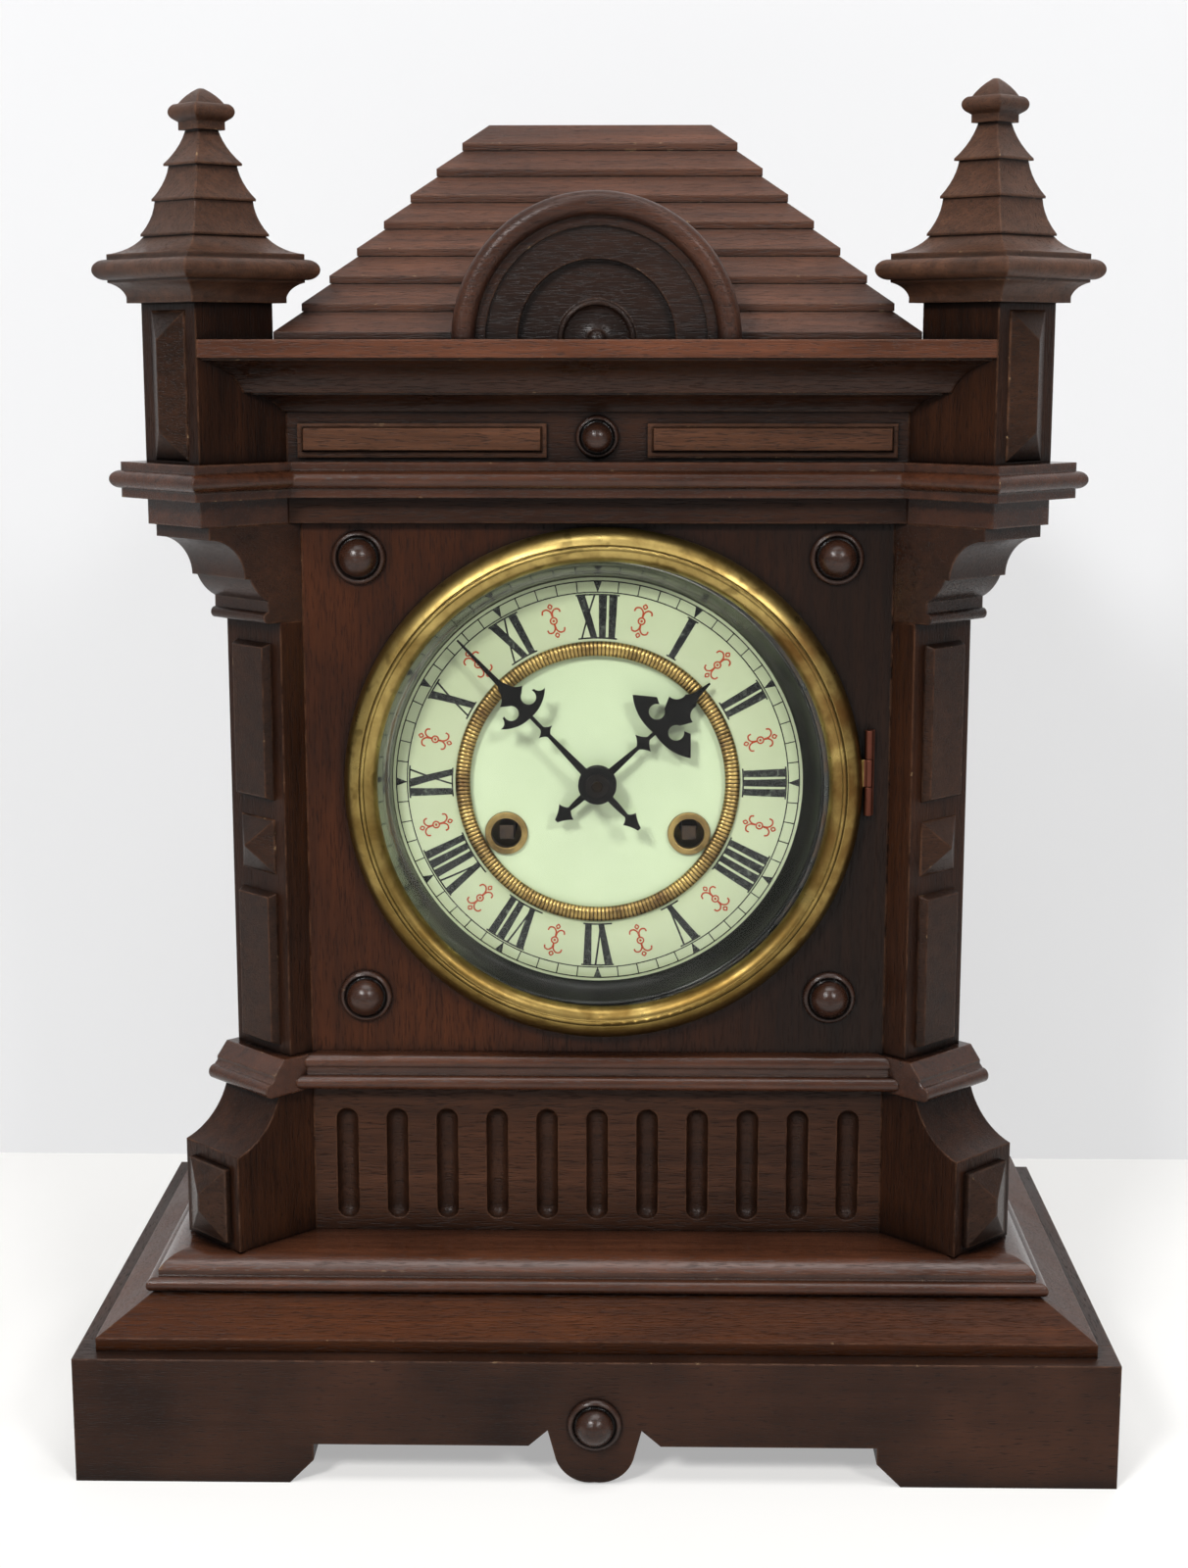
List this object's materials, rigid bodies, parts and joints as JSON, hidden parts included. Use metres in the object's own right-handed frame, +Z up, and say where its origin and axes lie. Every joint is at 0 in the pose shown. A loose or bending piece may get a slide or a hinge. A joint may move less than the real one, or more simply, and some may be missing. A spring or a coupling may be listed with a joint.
{
  "type": "mantel clock",
  "caption": "dark stained wooden mantel clock with a stepped hipped roof, diagonal corner towers with spires, a brass bezel door and a cream enamel dial with Roman numerals",
  "frame": {"origin": "centre of the plinth's footprint, on the table", "axes": "X to the right, the dial faces -Y, Z up"},
  "size_m": [0.3, 0.1826, 0.3951],
  "materials": {
    "case_wood": "satin shellac over dark red-brown stain",
    "moulding_wood": "satin shellac, polished on the beads",
    "roof_wood": "satin shellac, warmer and more worn",
    "plain_wood": "plain oiled board",
    "bezel_brass": "aged brass with brown tarnish",
    "door_brass": "aged brass",
    "dial_enamel": "gloss cream enamel with a green cast",
    "dark_metal": "dull dark metal",
    "clear_glass": "clear polished",
    "black_hands": "matte black",
    "movement_brass": "lacquered brass",
    "movement_steel": "blued and plain steel",
    "cast_iron": "japanned black"
  },
  "bodies": {
    "case": {"plinth_front": "case_wood", "plinth_boards": "case_wood", "plinth_cap": "case_wood", "base_moulding": "moulding_wood", "bracket_feet": "case_wood", "post_collars": "moulding_wood", "pilaster_shafts": "case_wood", "corbels": "moulding_wood", "fluted_panel": "case_wood", "dial_panel": "case_wood", "sill_moulding": "moulding_wood", "cornice": "moulding_wood", "towers": "case_wood", "spires": "moulding_wood", "frieze_board": "case_wood", "cove_moulding": "moulding_wood", "top_board": "roof_wood", "roof": "roof_wood", "lunette": "moulding_wood", "side_panels": "case_wood", "back_frame": "plain_wood", "seat_board": "plain_wood", "frame_hinge_leaves": "door_brass", "applied_panels": "moulding_wood", "turned_buttons": "moulding_wood", "dial_pan": "dark_metal", "chapter_ring": "dial_enamel", "dial_centre": "dial_enamel", "milled_ring": "bezel_brass", "winding_collars": "bezel_brass", "bezel_hinge": "bezel_brass", "movement_front_plate": "movement_brass", "movement_back_plate": "movement_brass", "movement_pillars": "movement_brass", "gong_coil": "movement_steel", "gong_stand": "cast_iron"},
    "bezel_door": {"bezel": "bezel_brass", "bezel_glass": "clear_glass"},
    "rear_door": {"back_door": "plain_wood", "door_hinge_leaves": "door_brass", "door_knob": "door_brass"},
    "minute_train": {"minute_hand": "black_hands", "hand_nut": "black_hands", "cannon_pinion": "movement_brass", "centre_wheel": "movement_brass"},
    "hour_train": {"hour_hand": "black_hands", "hour_wheel": "movement_brass"},
    "motion_wheel": {"minute_wheel": "movement_brass"},
    "going_drum": {"going_barrel": "movement_brass"},
    "third_train": {"third_wheel": "movement_brass"},
    "escape_train": {"escape_wheel": "movement_brass"},
    "going_arbor": {"going_winding_arbor": "movement_steel"},
    "strike_arbor": {"strike_winding_arbor": "movement_steel"},
    "strike_drum": {"strike_barrel": "movement_brass"},
    "pin_train": {"strike_pin_wheel": "movement_brass"},
    "pendulum": {"pallet_anchor": "movement_steel", "pendulum_rod": "movement_steel", "pendulum_bob": "movement_brass", "rating_nut": "movement_brass"},
    "hammer": {"strike_hammer": "movement_steel"}
  },
  "joints": [
    {"name": "bezel_swing", "type": "hinge", "parent": "case", "child": "bezel_door", "pos_m": [0.0788, -0.0411, 0.2011], "axis": [0, 0, 1], "range_deg": [0, 110]},
    {"name": "rear_door_swing", "type": "hinge", "parent": "case", "child": "rear_door", "pos_m": [-0.0647, 0.0813, 0.18], "axis": [0, 0, 1], "range_deg": [0, 110]},
    {"name": "minute_turn", "type": "hinge", "parent": "case", "child": "minute_train", "pos_m": [0, 0, 0.1966], "axis": [0, 1, 0], "continuous": true},
    {"name": "hour_turn", "type": "hinge", "parent": "case", "child": "hour_train", "pos_m": [0, 0, 0.1966], "axis": [0, 1, 0], "continuous": true},
    {"name": "motion_wheel_turn", "type": "hinge", "parent": "case", "child": "motion_wheel", "pos_m": [0, 0, 0.2086], "axis": [0, 1, 0], "continuous": true},
    {"name": "going_drum_turn", "type": "hinge", "parent": "case", "child": "going_drum", "pos_m": [0.027, 0, 0.1812], "axis": [0, 1, 0], "continuous": true},
    {"name": "third_turn", "type": "hinge", "parent": "case", "child": "third_train", "pos_m": [0.0075, 0, 0.21728], "axis": [0, 1, 0], "continuous": true},
    {"name": "escape_turn", "type": "hinge", "parent": "case", "child": "escape_train", "pos_m": [0, 0, 0.23255], "axis": [0, 1, 0], "continuous": true},
    {"name": "going_winding", "type": "hinge", "parent": "case", "child": "going_arbor", "pos_m": [0.027, 0, 0.1812], "axis": [0, 1, 0], "continuous": true},
    {"name": "strike_winding", "type": "hinge", "parent": "case", "child": "strike_arbor", "pos_m": [-0.027, 0, 0.1812], "axis": [0, 1, 0], "continuous": true},
    {"name": "strike_drum_turn", "type": "hinge", "parent": "case", "child": "strike_drum", "pos_m": [-0.027, 0, 0.1812], "axis": [0, 1, 0], "continuous": true},
    {"name": "pin_turn", "type": "hinge", "parent": "case", "child": "pin_train", "pos_m": [-0.03172, 0, 0.20799], "axis": [0, 1, 0], "continuous": true},
    {"name": "pendulum_swing", "type": "hinge", "parent": "case", "child": "pendulum", "pos_m": [0, 0, 0.24705], "axis": [0, 1, 0], "range_deg": [-4, 4]},
    {"name": "hammer_lift", "type": "hinge", "parent": "case", "child": "hammer", "pos_m": [-0.038, 0, 0.1726], "axis": [0, 1, 0], "range_deg": [0, 15]}
  ],
  "couplings": [
    {"joint": "hour_turn", "follows": "minute_turn", "ratio": 0.083333},
    {"joint": "motion_wheel_turn", "follows": "minute_turn", "ratio": -0.33333},
    {"joint": "going_drum_turn", "follows": "minute_turn", "ratio": -0.125},
    {"joint": "third_turn", "follows": "minute_turn", "ratio": -10},
    {"joint": "escape_turn", "follows": "minute_turn", "ratio": 125},
    {"joint": "pin_turn", "follows": "strike_drum_turn", "ratio": -7.5}
  ]
}
